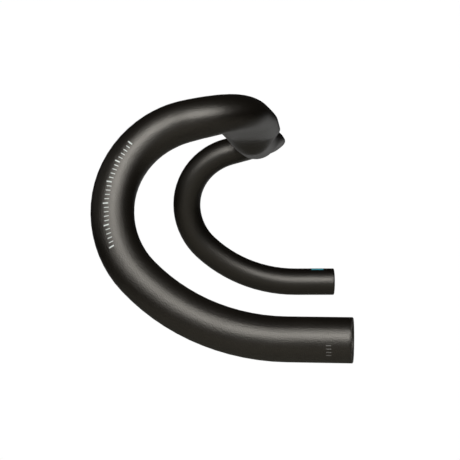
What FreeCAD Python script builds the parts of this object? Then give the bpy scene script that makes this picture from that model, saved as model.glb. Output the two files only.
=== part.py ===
import FreeCAD, Part
import math
import os

# A flared drop handlebar, bent and pressed from one drawn aluminium tube.
# Frame: origin at the centre of the stem clamp, X to the rider's left, Y to the rear, Z up.
# The left half is a path that starts at the clamp and is walked outwards; the right half mirrors it.

# Driving dimensions, in millimetres and degrees
hood_width = 440.0           # centre to centre across the foremost points of the hooks
clamp_diameter = 31.8        # round zone that the stem grips
clamp_length = 76.0
clamp_wall = 2.2             # butted wall under the stem
tube_diameter = 23.8         # hooks and drops
tube_wall = 1.4
wing_width = 40.0            # flattened tops, front to back
wing_height = 16.5
wing_blend = 26.0            # length over which the clamp turns into the wing
wing_fade = 52.0             # the wing starts to round off this far before the corner
wing_tail = 17.5             # and is round again this far past the corner
tops_rise = 1.2              # upward angle of the tops
tops_rise_radius = 100.0
corner_radius = 29.3         # bend between the tops and the ramp
ramp_slope = 13.9            # downward angle of the ramp where it leaves the corner
flare = 17.4                 # lean of the hook plane, outwards at the bottom
splay = 4.8                  # outward angle of the drops, seen from above
hook_upper_radius = 49.9     # ramp to the foremost point
hook_lower_radius = 55.6     # foremost point to the grip
hook_lower_turn = 45.6
drop_radius = 115.5          # grip to the level drop
drop_length = 34.3           # straight stretch at the bar end
end_chamfer = 0.4            # deburred edges of the bar ends
blend_steps = 7              # sections that shape the blend beside the clamp
corner_steps = 18            # sections that shape the fade and the corner
sewing_gap = 0.001           # edges of neighbouring faces this close are one edge

Vector = FreeCAD.Vector
up = Vector(0, 0, 1)
quarter_turn = 90.0
full_turn = 360.0


def turned(vector, axis, degrees):
    return FreeCAD.Rotation(axis, degrees).multVec(vector)


def straight(start, heading, length):
    def at(distance):
        return start + heading * distance, heading
    return {"length": length, "at": at, "curved": False}


def bend(start, heading, axis, radius, degrees):
    centre = start + axis.cross(heading) * radius

    def at(distance):
        angle = math.degrees(distance / radius)
        return centre + turned(start - centre, axis, angle), turned(heading, axis, angle)
    return {"length": radius * math.radians(degrees), "at": at, "curved": True}


def far_end(piece):
    return piece["at"](piece["length"])


def bend_towards(start, heading, goal, radius):
    axis = heading.cross(goal).normalize()
    return bend(start, heading, axis, radius, math.degrees(heading.getAngle(goal)))


def hook_directions():
    # Forward and downward directions of the leaning hook plane
    forward = Vector(-math.sin(math.radians(splay)), -math.cos(math.radians(splay)), 0)
    lean = Vector(math.sin(math.radians(flare)), 0, -math.cos(math.radians(flare)))
    down = (lean - forward * lean.dot(forward)).normalize()
    return forward, down


def hook_pieces(corner):
    # The three bends of the hook and the straight bar end, all in one leaning plane
    forward, down = hook_directions()
    axis = forward.cross(down)
    bends = (
        (hook_upper_radius, quarter_turn - ramp_slope),
        (hook_lower_radius, hook_lower_turn),
        (drop_radius, quarter_turn - hook_lower_turn),
    )
    pieces = []
    point, heading = far_end(corner)
    for radius, degrees in bends:
        pieces.append(bend(point, heading, axis, radius, degrees))
        point, heading = far_end(pieces[-1])
    pieces.append(straight(point, heading, drop_length))
    return pieces


def corner_bend(start, heading):
    forward, down = hook_directions()
    ramp = turned(forward, forward.cross(down), ramp_slope)
    return bend_towards(start, heading, ramp, corner_radius)


def bar_path():
    # Clamp centre to bar end; the tops take whatever length the hood width leaves them
    outwards = Vector(1, 0, 0)
    rising = turned(outwards, Vector(0, -1, 0), tops_rise)
    clamp = straight(Vector(0, 0, 0), outwards, clamp_length / 2)
    rise = bend_towards(far_end(clamp)[0], outwards, rising, tops_rise_radius)
    rise_end, heading = far_end(rise)
    trial_corner = corner_bend(rise_end, heading)
    foremost = far_end(hook_pieces(trial_corner)[0])[0]
    tops = straight(rise_end, heading, (hood_width / 2 - foremost.x) / heading.x)
    corner = corner_bend(*far_end(tops))
    return [clamp, rise, tops, corner] + hook_pieces(corner)


def along(path, distance):
    for piece in path:
        if distance <= piece["length"] or piece is path[-1]:
            return piece["at"](distance)
        distance -= piece["length"]


def length_of(pieces):
    return sum(piece["length"] for piece in pieces)


def eased(share):
    share = min(max(share, 0.0), 1.0)
    return share * share * (3 - 2 * share)


def landmarks(path):
    # Distances from the clamp centre between which the section changes
    corner_start = length_of(path[:3])
    corner_end = length_of(path[:4])
    return {
        "clamp end": clamp_length / 2,
        "wing start": clamp_length / 2 + wing_blend,
        "fade start": corner_start - wing_fade,
        "hook start": corner_end + wing_tail,
    }


def section_sizes(path, distance):
    # Half width, half height and wall of the tube at a distance from the clamp centre
    marks = landmarks(path)
    rounding = eased((distance - marks["fade start"]) / (marks["hook start"] - marks["fade start"]))
    leaving_clamp = eased((distance - marks["clamp end"]) / wing_blend)
    round_tube = tube_diameter / 2
    round_clamp = clamp_diameter / 2
    half_width = wing_width / 2 + (round_tube - wing_width / 2) * rounding
    half_height = wing_height / 2 + (round_tube - wing_height / 2) * rounding
    half_width = round_clamp + (half_width - round_clamp) * leaving_clamp
    half_height = round_clamp + (half_height - round_clamp) * leaving_clamp
    wall = clamp_wall + (tube_wall - clamp_wall) * leaving_clamp
    return half_width, half_height, wall


def section_wire(path, distance, bore):
    # Oval across the path, its long axis level
    point, heading = along(path, distance)
    half_width, half_height, wall = section_sizes(path, distance)
    inset = wall if bore else 0.0
    across = up.cross(heading).normalize()
    oval = Part.Ellipse(Vector(0, 0, 0), half_width - inset, half_height - inset).toShape()
    frame = FreeCAD.Rotation(across, heading.cross(across), heading, "ZXY")
    oval.Placement = FreeCAD.Placement(point, frame)
    return Part.Wire([oval])


def crowded(start, end, steps):
    # Distances that lie closer together towards both ends, so that the skin leaves them without a kink
    shares = [(1 - math.cos(math.pi * step / steps)) / 2 for step in range(steps + 1)]
    return [start + (end - start) * share for share in shares]


def pressed_stretches(path):
    # Section places of the blend, of the even wing, and of the fade through the corner to the hook
    marks = landmarks(path)
    return (
        crowded(marks["clamp end"], marks["wing start"], blend_steps),
        [marks["wing start"], marks["fade start"]],
        crowded(marks["fade start"], marks["hook start"], corner_steps),
    )


def pressed_faces(path, bore):
    # The skin is smooth through its sections; the hidden bore runs straight between them
    faces = []
    for places in pressed_stretches(path):
        loft = Part.makeLoft([section_wire(path, place, bore) for place in places], False, bore)
        faces += loft.Faces if bore else bands(loft.Faces[0].Surface)
    return faces


def bands(surface):
    # One band of skin from each section to the next
    first, last = surface.bounds()[:2]
    rows = surface.getVKnots()
    return [surface.toShape(first, last, low, high) for low, high in zip(rows, rows[1:])]


def path_wire(path, start, end):
    edges = []
    begun = 0.0
    for piece in path:
        first = max(start - begun, 0.0)
        last = min(end - begun, piece["length"])
        begun += piece["length"]
        if last <= first:
            continue
        points = [piece["at"](place)[0] for place in (first, (first + last) / 2, last)]
        if piece["curved"]:
            edges.append(Part.Arc(*points).toShape())
        else:
            edges.append(Part.makeLine(points[0], points[2]))
    return Part.Wire(edges)


def round_faces(path, radius):
    # The hook and the drop, up to the broken edge of the bar end
    start = landmarks(path)["hook start"]
    point, heading = along(path, start)
    profile = Part.Wire([Part.makeCircle(radius, point, heading)])
    spine = path_wire(path, start, length_of(path) - end_chamfer)
    return spine.makePipeShell([profile], False, False).Faces


def end_faces(path):
    # Flat end of the tube between its two broken edges
    point, heading = far_end(path[-1])
    across = up.cross(heading).normalize()
    skin = tube_diameter / 2
    bore = skin - tube_wall
    outline = (
        (skin, end_chamfer),
        (skin - end_chamfer, 0),
        (bore + end_chamfer, 0),
        (bore, end_chamfer),
    )
    corners = [point + across * radius - heading * depth for radius, depth in outline]
    return Part.makePolygon(corners).revolve(point, heading, full_turn).Faces


def half_faces(path):
    # Skin, bore and end of the left side, outwards from the clamp
    radius = tube_diameter / 2
    skin = pressed_faces(path, False) + round_faces(path, radius)
    bore = pressed_faces(path, True) + round_faces(path, radius - tube_wall)
    return skin + bore + end_faces(path)


def mirrored(shape):
    return shape.mirror(Vector(0, 0, 0), Vector(1, 0, 0))


def clamp_faces():
    faces = []
    for radius in (clamp_diameter / 2, clamp_diameter / 2 - clamp_wall):
        circle = Part.makeCircle(radius, Vector(-clamp_length / 2, 0, 0), Vector(1, 0, 0))
        faces += circle.extrude(Vector(clamp_length, 0, 0)).Faces
    return faces


def handlebar():
    path = bar_path()
    left = half_faces(path)
    faces = clamp_faces() + left + [mirrored(face) for face in left]
    surface = Part.Compound(faces)
    surface.sewShape(sewing_gap)
    return Part.Solid(surface.Shells[0])


os.makedirs("parts", exist_ok=True)
handlebar().exportStep("parts/handlebar.step")
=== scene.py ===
import bmesh
import bpy
import math
from mathutils import Matrix, Vector


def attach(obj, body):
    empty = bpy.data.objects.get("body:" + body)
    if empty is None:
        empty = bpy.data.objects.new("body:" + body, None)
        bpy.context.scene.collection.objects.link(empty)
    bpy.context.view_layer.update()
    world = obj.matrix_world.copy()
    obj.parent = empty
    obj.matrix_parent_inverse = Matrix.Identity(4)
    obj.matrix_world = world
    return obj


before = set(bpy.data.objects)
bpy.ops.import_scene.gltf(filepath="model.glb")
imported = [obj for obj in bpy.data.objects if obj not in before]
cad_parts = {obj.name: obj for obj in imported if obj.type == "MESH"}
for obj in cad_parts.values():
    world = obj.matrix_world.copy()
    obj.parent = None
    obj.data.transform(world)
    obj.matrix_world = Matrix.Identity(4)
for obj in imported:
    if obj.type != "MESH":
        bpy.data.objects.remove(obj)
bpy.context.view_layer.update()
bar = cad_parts["handlebar"]
scene = bpy.context.scene
scene.view_settings.view_transform = "Standard"
mm = 0.001

# the tube as the solid has it, in millimetres and degrees; the hook lies in one leaning plane
tube = {
    "radius": 11.9,
    "foremost": (220.0, -67.927, -49.493),  # centre of the left hook at its front
    "flare": 17.4,
    "splay": 4.8,
    "upperRadius": 49.9,
    "lowerRadius": 55.6,
    "dropStart": (249.755, 27.427, -118.891),
    "end": (252.625, 61.607, -118.891),
}


def hookPlane():
    lean, splay = math.radians(tube["flare"]), math.radians(tube["splay"])
    forward = Vector((-math.sin(splay), -math.cos(splay), 0))
    down = Vector((math.sin(lean), 0, -math.cos(lean)))
    down = (down - forward * down.dot(forward)).normalized()
    return forward, down, forward.cross(down)  # the last one points outwards on the left side


def hookPoint(travel):
    # travel runs down the hook from its foremost point
    forward, down, _ = hookPlane()
    radius = tube["upperRadius"] if travel < 0 else tube["lowerRadius"]
    turn = travel / radius
    bow = forward * (math.cos(turn) - 1) + down * math.sin(turn)
    return Vector(tube["foremost"]) + bow * radius


# node helpers

def linkTree(tree, *pairs):
    for source, target in pairs:
        tree.links.new(source, target)


def mathNode(tree, operation, *values):
    node = tree.nodes.new("ShaderNodeMath")
    node.operation = operation
    plug(tree, node.inputs, values)
    return node.outputs[0]


def vectorNode(tree, operation, *values):
    node = tree.nodes.new("ShaderNodeVectorMath")
    node.operation = operation
    plug(tree, node.inputs, values)
    return node.outputs["Value" if operation in ("DOT_PRODUCT", "LENGTH") else "Vector"]


def plug(tree, sockets, values):
    for socket, value in zip(sockets, values):
        if isinstance(value, bpy.types.NodeSocket):
            tree.links.new(value, socket)
        else:
            socket.default_value = value


def scaled(tree, vector, factor):
    node = tree.nodes.new("ShaderNodeVectorMath")
    node.operation = "SCALE"
    tree.links.new(vector, node.inputs["Vector"])
    tree.links.new(factor, node.inputs["Scale"])
    return node.outputs["Vector"]


# materials

skinDetail = {
    "pitDetail": 2.0,
    "cloudDetail": 3.0,
    "span": (0.3, 0.7),  # values between which nearly all of the noise lies
    "worn": (0.4, 0.6),  # pits between these values are partly worn bare
    "seamSamples": 8,  # rays that even out a seam
}


def speckleGroup():
    # fine pits of the blasted skin and a slow cloud of uneven dye
    group = bpy.data.node_groups.new("blastedSpeckle", "ShaderNodeTree")
    face = group.interface
    for name in ("Pit Size", "Cloud Size"):
        face.new_socket(name, in_out="INPUT", socket_type="NodeSocketFloat")
    for name in ("Pits", "Cloud"):
        face.new_socket(name, in_out="OUTPUT", socket_type="NodeSocketFloat")
    given = group.nodes.new("NodeGroupInput")
    result = group.nodes.new("NodeGroupOutput")
    place = group.nodes.new("ShaderNodeTexCoord")
    for size, output, detail in (
        ("Pit Size", "Pits", skinDetail["pitDetail"]),
        ("Cloud Size", "Cloud", skinDetail["cloudDetail"]),
    ):
        pattern = group.nodes.new("ShaderNodeTexNoise")
        pattern.inputs["Detail"].default_value = detail
        fineness = mathNode(group, "DIVIDE", 1 / mm, given.outputs[size])
        linkTree(
            group,
            (place.outputs["Object"], pattern.inputs["Vector"]),
            (fineness, pattern.inputs["Scale"]),
            (pattern.outputs["Fac"], result.inputs[output]),
        )
    return group


speckle = speckleGroup()


def rangeNode(tree, value, low, high):
    # spreads a noise over the whole range from low to high
    node = tree.nodes.new("ShaderNodeMapRange")
    least, most = skinDetail["span"]
    node.inputs["From Min"].default_value = least
    node.inputs["From Max"].default_value = most
    node.inputs["To Min"].default_value = low
    node.inputs["To Max"].default_value = high
    tree.links.new(value, node.inputs["Value"])
    return node.outputs["Result"]


def blendColours(tree, factor, first, second):
    node = tree.nodes.new("ShaderNodeMix")
    node.data_type = "RGBA"
    colours = [socket for socket in node.inputs if socket.type == "RGBA"]
    for socket, colour in zip(colours, (first, second)):
        if isinstance(colour, bpy.types.NodeSocket):
            tree.links.new(colour, socket)
        else:
            socket.default_value = (*colour, 1)
    tree.links.new(factor, node.inputs[0])
    return [socket for socket in node.outputs if socket.type == "RGBA"][0]


def fadeNode(tree, value, low, high):
    # 0 at low, 1 at high and smooth between
    node = tree.nodes.new("ShaderNodeMapRange")
    node.interpolation_type = "SMOOTHSTEP"
    node.inputs["From Min"].default_value = low
    node.inputs["From Max"].default_value = high
    tree.links.new(value, node.inputs["Value"])
    return node.outputs["Result"]


def endWear(tree, pits, depth):
    # bare metal along the edges of both bar ends, broken by the pits
    heading = (Vector(tube["end"]) - Vector(tube["dropStart"])).normalized()
    endPlane = Vector(tube["end"]).dot(heading) * mm
    place = tree.nodes.new("ShaderNodeSeparateXYZ")
    linkTree(tree, (tree.nodes.new("ShaderNodeTexCoord").outputs["Object"], place.inputs[0]))
    across = mathNode(tree, "MULTIPLY", mathNode(tree, "ABSOLUTE", place.outputs["X"]), heading.x)
    reach = mathNode(tree, "MULTIPLY_ADD", place.outputs["Y"], heading.y, across)
    edge = fadeNode(tree, reach, endPlane - depth * mm, endPlane - depth * mm / 2)
    return mathNode(tree, "MULTIPLY", edge, fadeNode(tree, pits, *skinDetail["worn"]))


def speckledMaterial(look):
    material = bpy.data.materials.new(look["name"])
    material.use_nodes = True
    tree = material.node_tree
    shader = tree.nodes["Principled BSDF"]
    grain = tree.nodes.new("ShaderNodeGroup")
    grain.node_tree = speckle
    grain.inputs["Pit Size"].default_value = look["pitSize"]
    grain.inputs["Cloud Size"].default_value = look["cloudSize"]
    pits = mathNode(tree, "MULTIPLY", grain.outputs["Pits"], look["pitShare"])
    cloud = mathNode(tree, "MULTIPLY_ADD", grain.outputs["Cloud"], 1 - look["pitShare"], pits)
    colour = blendColours(tree, rangeNode(tree, cloud, 0.0, 1.0), look["dark"], look["light"])
    if "worn" in look:
        wear = endWear(tree, grain.outputs["Pits"], look["wornDepth"])
        colour = blendColours(tree, wear, colour, look["worn"])
    bump = tree.nodes.new("ShaderNodeBump")
    bump.inputs["Strength"].default_value = look["bump"]
    bump.inputs["Distance"].default_value = look["pitDepth"] * mm
    if "evenOut" in look:
        even = tree.nodes.new("ShaderNodeBevel")  # runs the shading smoothly over the skin's seams
        even.samples = skinDetail["seamSamples"]
        even.inputs["Radius"].default_value = look["evenOut"] * mm
        linkTree(tree, (even.outputs[0], bump.inputs["Normal"]))
    linkTree(
        tree,
        (colour, shader.inputs["Base Color"]),
        (rangeNode(tree, cloud, *look["roughness"]), shader.inputs["Roughness"]),
        (grain.outputs["Pits"], bump.inputs["Height"]),
        (bump.outputs["Normal"], shader.inputs["Normal"]),
    )
    shader.inputs["IOR"].default_value = look["ior"]
    shader.inputs["Specular IOR Level"].default_value = look["specular"]
    shader.inputs["Specular Tint"].default_value = (*look["tint"], 1)
    return material


blackAnodised = speckledMaterial({
    "name": "blackAnodised",
    "pitSize": 0.6,  # in millimetres
    "cloudSize": 26.0,
    "pitShare": 0.6,
    "pitDepth": 0.14,
    "bump": 1.0,
    "dark": (0.0022, 0.0012, 0.0003),
    "light": (0.0047, 0.0028, 0.0009),
    "worn": (0.10, 0.094, 0.087),
    "wornDepth": 0.7,  # millimetres from the bar end
    "evenOut": 3.0,  # millimetres over which a seam of the skin is evened out
    "roughness": (0.36, 0.44),
    "ior": 1.7,  # the hard oxide reflects more than paint
    "specular": 0.75,
    "tint": (1.0, 0.955, 0.875),
})
whiteInk = speckledMaterial({
    "name": "whiteInk",
    "pitSize": 0.35,
    "cloudSize": 6.0,
    "pitShare": 0.5,
    "pitDepth": 0.02,
    "bump": 0.2,
    "dark": (0.72, 0.77, 0.73),
    "light": (0.86, 0.90, 0.86),
    "roughness": (0.5, 0.62),
    "ior": 1.5,
    "specular": 0.4,
    "tint": (1.0, 1.0, 1.0),
})
cyanInk = speckledMaterial({
    "name": "cyanInk",
    "pitSize": 0.35,
    "cloudSize": 6.0,
    "pitShare": 0.5,
    "pitDepth": 0.02,
    "bump": 0.2,
    "dark": (0.10, 0.54, 0.66),
    "light": (0.12, 0.60, 0.73),
    "roughness": (0.45, 0.58),
    "ior": 1.5,
    "specular": 0.4,
    "tint": (1.0, 1.0, 1.0),
})
etchedMetal = speckledMaterial({
    "name": "etchedMetal",
    "pitSize": 0.3,
    "cloudSize": 4.0,
    "pitShare": 0.6,
    "pitDepth": 0.02,
    "bump": 0.25,
    "dark": (0.07, 0.066, 0.062),
    "light": (0.33, 0.32, 0.30),
    "roughness": (0.5, 0.65),
    "ior": 1.5,
    "specular": 0.5,
    "tint": (1.0, 1.0, 1.0),
})
bar.data.materials.clear()
bar.data.materials.append(blackAnodised)
print("materials done")


# printed marks: flat shapes laid out as (along the tube, around the tube, height) and wrapped on it

def wrapGroup():
    group = bpy.data.node_groups.new("wrapOnTube", "GeometryNodeTree")
    face = group.interface
    for name, kind in (
        ("Flat Marks", "NodeSocketGeometry"),
        ("Centre Line", "NodeSocketGeometry"),
        ("Tube Radius", "NodeSocketFloat"),
        ("Side", "NodeSocketVector"),
        ("Angle", "NodeSocketFloat"),
        ("Bow", "NodeSocketFloat"),
        ("Bow Place", "NodeSocketFloat"),
    ):
        face.new_socket(name, in_out="INPUT", socket_type=kind)
    face.new_socket("Marks", in_out="OUTPUT", socket_type="NodeSocketGeometry")
    given = group.nodes.new("NodeGroupInput").outputs
    result = group.nodes.new("NodeGroupOutput")
    place = group.nodes.new("ShaderNodeSeparateXYZ")
    sample = group.nodes.new("GeometryNodeSampleCurve")
    sample.mode = "LENGTH"
    move = group.nodes.new("GeometryNodeSetPosition")
    position = group.nodes.new("GeometryNodeInputPosition")
    linkTree(
        group,
        (position.outputs[0], place.inputs[0]),
        (given["Centre Line"], sample.inputs["Curves"]),
        (place.outputs["X"], sample.inputs["Length"]),
        (given["Flat Marks"], move.inputs["Geometry"]),
        (move.outputs[0], result.inputs["Marks"]),
    )
    around = mathNode(group, "DIVIDE", place.outputs["Y"], given["Tube Radius"])
    around = mathNode(group, "ADD", around, given["Angle"])
    offset = mathNode(group, "SUBTRACT", place.outputs["X"], given["Bow Place"])
    bow = mathNode(group, "MULTIPLY", mathNode(group, "MULTIPLY", offset, offset), given["Bow"])
    around = mathNode(group, "SUBTRACT", around, bow)
    reach = mathNode(group, "ADD", given["Tube Radius"], place.outputs["Z"])
    outer = vectorNode(group, "CROSS_PRODUCT", sample.outputs["Tangent"], given["Side"])
    outwards = mathNode(group, "MULTIPLY", reach, mathNode(group, "COSINE", around))
    sideways = mathNode(group, "MULTIPLY", reach, mathNode(group, "SINE", around))
    wrapped = scaled(group, outer, outwards)
    wrapped = vectorNode(group, "ADD", wrapped, scaled(group, given["Side"], sideways))
    wrapped = vectorNode(group, "ADD", wrapped, sample.outputs["Position"])
    linkTree(group, (wrapped, move.inputs["Position"]))
    return group


wrapOnTube = wrapGroup()


def centreLine(name, points):
    data = bpy.data.curves.new(name, "CURVE")
    data.dimensions = "3D"
    spline = data.splines.new("POLY")
    spline.points.add(len(points) - 1)
    for target, point in zip(spline.points, points):
        target.co = (*(point * mm), 1)
    line = bpy.data.objects.new(name, data)
    scene.collection.objects.link(line)
    return line


def newTree(name, inputs):
    tree = bpy.data.node_groups.new(name, "GeometryNodeTree")
    tree.interface.new_socket("Geometry", in_out="INPUT", socket_type="NodeSocketGeometry")
    for label, kind, _ in inputs:
        tree.interface.new_socket(label, in_out="INPUT", socket_type=kind)
    tree.interface.new_socket("Geometry", in_out="OUTPUT", socket_type="NodeSocketGeometry")
    return tree, tree.nodes.new("NodeGroupInput").outputs, tree.nodes.new("NodeGroupOutput")


def closeTree(tree, flat, given, result):
    # wrap the flat marks, then realise them and give them their ink
    wrap = tree.nodes.new("GeometryNodeGroup")
    wrap.node_tree = wrapOnTube
    realize = tree.nodes.new("GeometryNodeRealizeInstances")
    paint = tree.nodes.new("GeometryNodeSetMaterial")
    linkTree(
        tree,
        (flat, wrap.inputs["Flat Marks"]),
        (given["Geometry"], wrap.inputs["Centre Line"]),
        (given["Tube Radius"], wrap.inputs["Tube Radius"]),
        (given["Side"], wrap.inputs["Side"]),
        (given["Angle"], wrap.inputs["Angle"]),
        (given["Bow"], wrap.inputs["Bow"]),
        (given["Bow Place"], wrap.inputs["Bow Place"]),
        (wrap.outputs["Marks"], realize.inputs[0]),
        (realize.outputs[0], paint.inputs["Geometry"]),
        (given["Ink"], paint.inputs["Material"]),
        (paint.outputs[0], result.inputs["Geometry"]),
    )


def grownPiece(name, line, tree, inputs):
    # run the tree on the centre line and keep the result as a plain mesh
    modifier = line.modifiers.new(name, "NODES")
    modifier.node_group = tree
    sockets = [item for item in tree.interface.items_tree if item.in_out == "INPUT"]
    idents = {socket.name: socket.identifier for socket in sockets}
    for label, _, value in inputs:
        modifier[idents[label]] = value
    shown = line.evaluated_get(bpy.context.evaluated_depsgraph_get())
    mesh = bpy.data.meshes.new_from_object(shown)
    mesh.name = name
    bpy.data.objects.remove(line)
    piece = bpy.data.objects.new(name, mesh)
    scene.collection.objects.link(piece)
    return piece


def block(tree, along, around, height, steps):
    # a thin closed slab, sunk a little into the tube, fine enough around it to bend
    cube = tree.nodes.new("GeometryNodeMeshCube")
    size = tree.nodes.new("ShaderNodeCombineXYZ")
    plug(tree, size.inputs, (along, around, height))
    linkTree(tree, (size.outputs[0], cube.inputs["Size"]))
    cube.inputs["Vertices X"].default_value = steps[0]
    cube.inputs["Vertices Y"].default_value = steps[1]
    cube.inputs["Vertices Z"].default_value = 2
    return cube.outputs["Mesh"]


# kinds of input that the trees of the marks have
lengthSocket = angleSocket = "NodeSocketFloat"
countSocket, vectorSocket, inkSocket = "NodeSocketInt", "NodeSocketVector", "NodeSocketMaterial"

# the setting scale for the brake levers, on the outer face of each hook
scale = {
    "first": -33.7,  # millimetres of travel from the foremost point
    "pitch": 2.4,
    "count": 26,
    "majorEvery": 5,
    "tickLength": 2.6,
    "tickWidth": 0.42,
    "majorLength": 3.0,
    "majorWidth": 0.72,
    "majorShift": -0.55,
    "thickness": 0.3,
    "proud": 0.04,
    "angle": 88.8,  # degrees around the tube from the outside of the bend
    "bow": 0.0046,  # degrees per square millimetre that the row bends back
    "bowPlace": 16.7,  # millimetres from the first tick to where the bow starts both ways
    "lead": 6.0,  # spare centre line at each end
    "lineSteps": 160,
    "slabSteps": (2, 6),  # corners along and around the tube
}


def scaleTree(inputs):
    tree, given, result = newTree("hookScale", inputs)
    points = tree.nodes.new("GeometryNodePoints")
    index = tree.nodes.new("GeometryNodeInputIndex").outputs[0]
    place = tree.nodes.new("ShaderNodeCombineXYZ")
    travel = mathNode(tree, "MULTIPLY_ADD", index, given["Pitch"], given["Lead"])
    rest = mathNode(tree, "MODULO", index, given["Major Every"])
    isMajor = mathNode(tree, "LESS_THAN", rest, 0.5)
    isMinor = mathNode(tree, "SUBTRACT", 1.0, isMajor)
    shift = mathNode(tree, "MULTIPLY", isMajor, given["Major Shift"])
    linkTree(
        tree,
        (given["Count"], points.inputs["Count"]),
        (travel, place.inputs["X"]),
        (shift, place.inputs["Y"]),
        (given["Sink"], place.inputs["Z"]),
        (place.outputs[0], points.inputs["Position"]),
    )
    joined = tree.nodes.new("GeometryNodeJoinGeometry")
    for chosen, width, length in (
        (isMajor, given["Major Width"], given["Major Length"]),
        (isMinor, given["Tick Width"], given["Tick Length"]),
    ):
        spread = tree.nodes.new("GeometryNodeInstanceOnPoints")
        slab = block(tree, width, length, given["Thickness"], scale["slabSteps"])
        linkTree(
            tree,
            (points.outputs[0], spread.inputs["Points"]),
            (chosen, spread.inputs["Selection"]),
            (slab, spread.inputs["Instance"]),
            (spread.outputs[0], joined.inputs[0]),
        )
    flat = tree.nodes.new("GeometryNodeRealizeInstances")
    linkTree(tree, (joined.outputs[0], flat.inputs[0]))
    closeTree(tree, flat.outputs[0], given, result)
    return tree


def wrapInputs(mirror, angle, bow, bowPlace, ink):
    # what the wrap needs to know; mirror is 1 on the left side and -1 on the right
    flip = Matrix.Diagonal((mirror, 1, 1))
    return (
        ("Tube Radius", lengthSocket, tube["radius"] * mm),
        ("Side", vectorSocket, (flip @ hookPlane()[2]) * mirror),
        ("Angle", angleSocket, math.radians(angle) * mirror),
        ("Bow", angleSocket, math.radians(bow) / mm ** 2 * mirror),
        ("Bow Place", lengthSocket, bowPlace * mm),
        ("Ink", inkSocket, ink),
    )


def addScale(name, mirror):
    flip = Matrix.Diagonal((mirror, 1, 1))
    start = scale["first"] - scale["lead"]
    travel = scale["pitch"] * (scale["count"] - 1) + 2 * scale["lead"]
    steps = scale["lineSteps"]
    points = [flip @ hookPoint(start + travel * step / steps) for step in range(steps + 1)]
    bowPlace = scale["lead"] + scale["bowPlace"]
    inputs = wrapInputs(mirror, scale["angle"], scale["bow"], bowPlace, whiteInk) + (
        ("Count", countSocket, scale["count"]),
        ("Pitch", lengthSocket, scale["pitch"] * mm),
        ("Lead", lengthSocket, scale["lead"] * mm),
        ("Major Every", lengthSocket, float(scale["majorEvery"])),
        ("Major Shift", lengthSocket, scale["majorShift"] * mm * mirror),
        ("Tick Width", lengthSocket, scale["tickWidth"] * mm),
        ("Tick Length", lengthSocket, scale["tickLength"] * mm),
        ("Major Width", lengthSocket, scale["majorWidth"] * mm),
        ("Major Length", lengthSocket, scale["majorLength"] * mm),
        ("Thickness", lengthSocket, scale["thickness"] * mm),
        ("Sink", lengthSocket, (scale["proud"] - scale["thickness"] / 2) * mm),
    )
    return grownPiece(name, centreLine(name + "Line", points), scaleTree(inputs), inputs)


# four etched strokes low on the outside of the left drop
strokes = {
    "place": 22.4,  # millimetres from the start of the straight drop
    "count": 4,
    "pitch": 1.9,  # around the tube
    "length": 2.6,
    "width": 0.5,
    "thickness": 0.3,
    "proud": 0.02,
    "angle": 50.9,  # degrees around the tube, from its underside outwards
    "steps": (2, 3),  # corners along and around the tube
}
# a coloured patch on top of the right drop
patch = {
    "place": 19.4,
    "count": 1,
    "pitch": 0.0,
    "length": 10.8,
    "width": 10.0,
    "thickness": 0.3,
    "proud": 0.03,
    "angle": 162.6,
    "steps": (6, 24),
}


def rowTree(name, inputs, steps):
    # slabs side by side around the tube
    tree, given, result = newTree(name, inputs)
    points = tree.nodes.new("GeometryNodePoints")
    index = tree.nodes.new("GeometryNodeInputIndex").outputs[0]
    place = tree.nodes.new("ShaderNodeCombineXYZ")
    spread = tree.nodes.new("GeometryNodeInstanceOnPoints")
    flat = tree.nodes.new("GeometryNodeRealizeInstances")
    middle = mathNode(tree, "MULTIPLY", mathNode(tree, "SUBTRACT", given["Count"], 1.0), 0.5)
    around = mathNode(tree, "MULTIPLY", mathNode(tree, "SUBTRACT", index, middle), given["Pitch"])
    slab = block(tree, given["Length"], given["Width"], given["Thickness"], steps)
    linkTree(
        tree,
        (given["Count"], points.inputs["Count"]),
        (given["Place"], place.inputs["X"]),
        (around, place.inputs["Y"]),
        (given["Sink"], place.inputs["Z"]),
        (place.outputs[0], points.inputs["Position"]),
        (points.outputs[0], spread.inputs["Points"]),
        (slab, spread.inputs["Instance"]),
        (spread.outputs[0], flat.inputs[0]),
    )
    closeTree(tree, flat.outputs[0], given, result)
    return tree


def addDropMark(name, mirror, mark, ink):
    flip = Matrix.Diagonal((mirror, 1, 1))
    points = [flip @ Vector(tube["dropStart"]), flip @ Vector(tube["end"])]
    inputs = wrapInputs(mirror, mark["angle"], 0.0, 0.0, ink) + (
        ("Count", countSocket, mark["count"]),
        ("Pitch", lengthSocket, mark["pitch"] * mm),
        ("Place", lengthSocket, mark["place"] * mm),
        ("Length", lengthSocket, mark["length"] * mm),
        ("Width", lengthSocket, mark["width"] * mm),
        ("Thickness", lengthSocket, mark["thickness"] * mm),
        ("Sink", lengthSocket, (mark["proud"] - mark["thickness"] / 2) * mm),
    )
    line = centreLine(name + "Line", points)
    return grownPiece(name, line, rowTree(name, inputs, mark["steps"]), inputs)


pieces = [
    addScale("leftScale", 1),
    addScale("rightScale", -1),
    addDropMark("etchedStrokes", 1, strokes, etchedMetal),
    addDropMark("colourPatch", -1, patch, cyanInk),
]
for piece in pieces:
    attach(piece, "root")
print("marks done")

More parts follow.
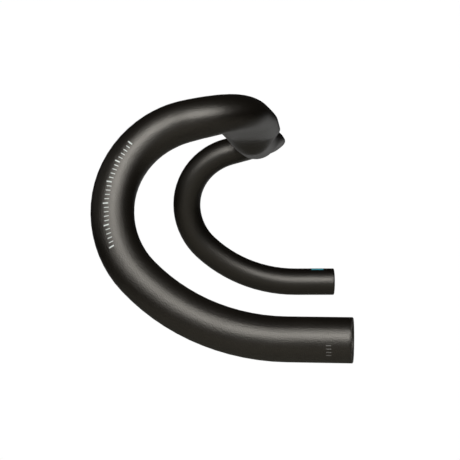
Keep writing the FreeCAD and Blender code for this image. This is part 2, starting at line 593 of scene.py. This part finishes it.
# studio: a pale round floor well below, a wide softbox with a brighter heart above the camera,
# three weak ones around, a white backdrop behind and a dark ceiling
studio = {
    "floorHeight": -0.62,
    "floorRadius": 1.75,
    "floorSegments": 160,
    "floorRoughness": 0.9,
    "floorColour": (0.41, 0.395, 0.345),
    "floorGlow": 0.87,  # what the camera sees of it besides the lit colour
    "floorFade": (0.45, 0.97),  # shares of the radius between which the floor fades to white
    "floorGloss": (-0.7, -1.75),  # metres behind between which its gloss takes on the backdrop
    "worldLight": 0.006,  # faint light from all round
    "backdrop": 0.42,  # white of the backdrop, as the object's gloss shows it
    "backdropEdge": (-0.72, -0.97),  # it fades in between these shares of the way back
    "backdropTop": (-0.16, 0.06),  # and fades out upwards between these sines of the elevation
    "middle": (0.12, 0.0, -0.05),  # what the softboxes point at
}
# a softbox each: degrees to the right of the middle and above it, metres and watts
softboxes = {
    "keySoftbox": {"aim": (6.0, 26.5), "distance": 2.6, "size": (2.7, 1.95), "power": 36.0},
    "keyHeart": {"aim": (6.0, 25.0), "distance": 2.5, "size": (2.6, 0.8), "power": 24.0},
    "leftSoftbox": {"aim": (-40.0, 13.0), "distance": 1.7, "size": (0.5, 0.52), "power": 1.9},
    "sideSoftbox": {"aim": (-98.0, 22.0), "distance": 0.9, "size": (0.5, 0.6), "power": 0.1},
    "lowSoftbox": {"aim": (0.0, -9.0), "distance": 1.4, "size": (2.4, 0.8), "power": 0.45},
}
# the photograph's camera, in millimetres and degrees
view = {
    "place": (928.08, 37.93, -48.25),
    "yaw": 3.380,
    "pitch": 1.176,
    "focal": 1309.0,  # in pixels of a frame this wide
    "frameWidth": 460.0,
    "sensor": 36.0,
    "clip": (0.05, 60.0),
}


def direction(right, above):
    # from the middle towards a place that many degrees to the right and above, seen by the camera
    right, above = math.radians(right), math.radians(above)
    level = Vector((math.cos(right), math.sin(right), 0)) * math.cos(above)
    return level + Vector((0, 0, math.sin(above)))


def addCamera():
    ahead = -direction(view["yaw"], view["pitch"])
    right = ahead.cross(Vector((0, 0, 1))).normalized()
    upward = right.cross(ahead)
    turn = Matrix((right, upward, -ahead)).transposed()
    data = bpy.data.cameras.new("photoCamera")
    data.sensor_width = view["sensor"]
    data.lens = view["sensor"] * view["focal"] / view["frameWidth"]
    data.clip_start, data.clip_end = view["clip"]
    camera = bpy.data.objects.new("photoCamera", data)
    camera.matrix_world = Matrix.Translation(Vector(view["place"]) * mm) @ turn.to_4x4()
    scene.collection.objects.link(camera)
    scene.camera = camera


def addSoftbox(name, box):
    towards = direction(*box["aim"])
    data = bpy.data.lights.new(name, "AREA")
    data.shape = "RECTANGLE"
    data.size, data.size_y = box["size"]
    data.energy = box["power"]
    lamp = bpy.data.objects.new(name, data)
    lamp.location = Vector(studio["middle"]) + towards * box["distance"]
    lamp.rotation_euler = (-towards).to_track_quat("-Z", "Y").to_euler()
    lamp.visible_camera = False
    scene.collection.objects.link(lamp)


def rayShare(tree, cameraShare, glossShare):
    # strength by kind of ray: what the camera sees, what gloss and glass show, and nothing as light
    path = tree.nodes.new("ShaderNodeLightPath").outputs
    mirrored = mathNode(tree, "MAXIMUM", path["Is Glossy Ray"], path["Is Transmission Ray"])
    gloss = mathNode(tree, "MULTIPLY", mirrored, glossShare)
    return mathNode(tree, "MULTIPLY_ADD", path["Is Camera Ray"], cameraShare, gloss)


def addFloor():
    mesh = bpy.data.meshes.new("studioFloor")
    disc = bmesh.new()
    place = Matrix.Translation((0, 0, studio["floorHeight"]))
    bmesh.ops.create_circle(
        disc,
        cap_ends=True,
        segments=studio["floorSegments"],
        radius=studio["floorRadius"],
        matrix=place,
    )
    disc.to_mesh(mesh)
    disc.free()
    floor = bpy.data.objects.new("studioFloor", mesh)
    scene.collection.objects.link(floor)
    material = bpy.data.materials.new("paleFloor")
    material.use_nodes = True
    tree = material.node_tree
    shader = tree.nodes["Principled BSDF"]
    spot = tree.nodes.new("ShaderNodeTexCoord").outputs["Object"]
    flat = vectorNode(tree, "MULTIPLY", spot, (1, 1, 0))
    low, high = (share * studio["floorRadius"] for share in studio["floorFade"])
    fade = fadeNode(tree, vectorNode(tree, "LENGTH", flat), low, high)
    glow = mathNode(tree, "MULTIPLY_ADD", fade, 1 - studio["floorGlow"], studio["floorGlow"])
    behind = tree.nodes.new("ShaderNodeSeparateXYZ")
    linkTree(tree, (spot, behind.inputs[0]))
    mirrored = fadeNode(tree, behind.outputs["X"], *studio["floorGloss"])
    mirrored = mathNode(tree, "MULTIPLY", mirrored, studio["backdrop"])
    linkTree(
        tree,
        (blendColours(tree, fade, studio["floorColour"], (0, 0, 0)), shader.inputs["Base Color"]),
        (rayShare(tree, glow, mirrored), shader.inputs["Emission Strength"]),
    )
    shader.inputs["Roughness"].default_value = studio["floorRoughness"]
    shader.inputs["Specular IOR Level"].default_value = 0.0
    shader.inputs["Emission Color"].default_value = (1, 1, 1, 1)
    mesh.materials.append(material)


def addWorld():
    world = bpy.data.worlds.new("studioWorld")
    scene.world = world
    world.use_nodes = True
    tree = world.node_tree
    surround = tree.nodes["Background"]
    towards = tree.nodes.new("ShaderNodeSeparateXYZ")
    place = tree.nodes.new("ShaderNodeTexCoord").outputs["Generated"]
    linkTree(tree, (place, towards.inputs[0]))
    behind = fadeNode(tree, towards.outputs["X"], *studio["backdropEdge"])
    ceiling = fadeNode(tree, towards.outputs["Z"], *studio["backdropTop"])
    low = mathNode(tree, "SUBTRACT", 1.0, ceiling)
    backdrop = mathNode(tree, "MULTIPLY", behind, low)
    backdrop = mathNode(tree, "MULTIPLY", backdrop, studio["backdrop"])
    lit = mathNode(tree, "ADD", rayShare(tree, 1.0, backdrop), studio["worldLight"])
    surround.inputs["Color"].default_value = (1, 1, 1, 1)
    linkTree(tree, (lit, surround.inputs["Strength"]))


addCamera()
addFloor()
addWorld()
for name, box in softboxes.items():
    addSoftbox(name, box)
print("studio done")
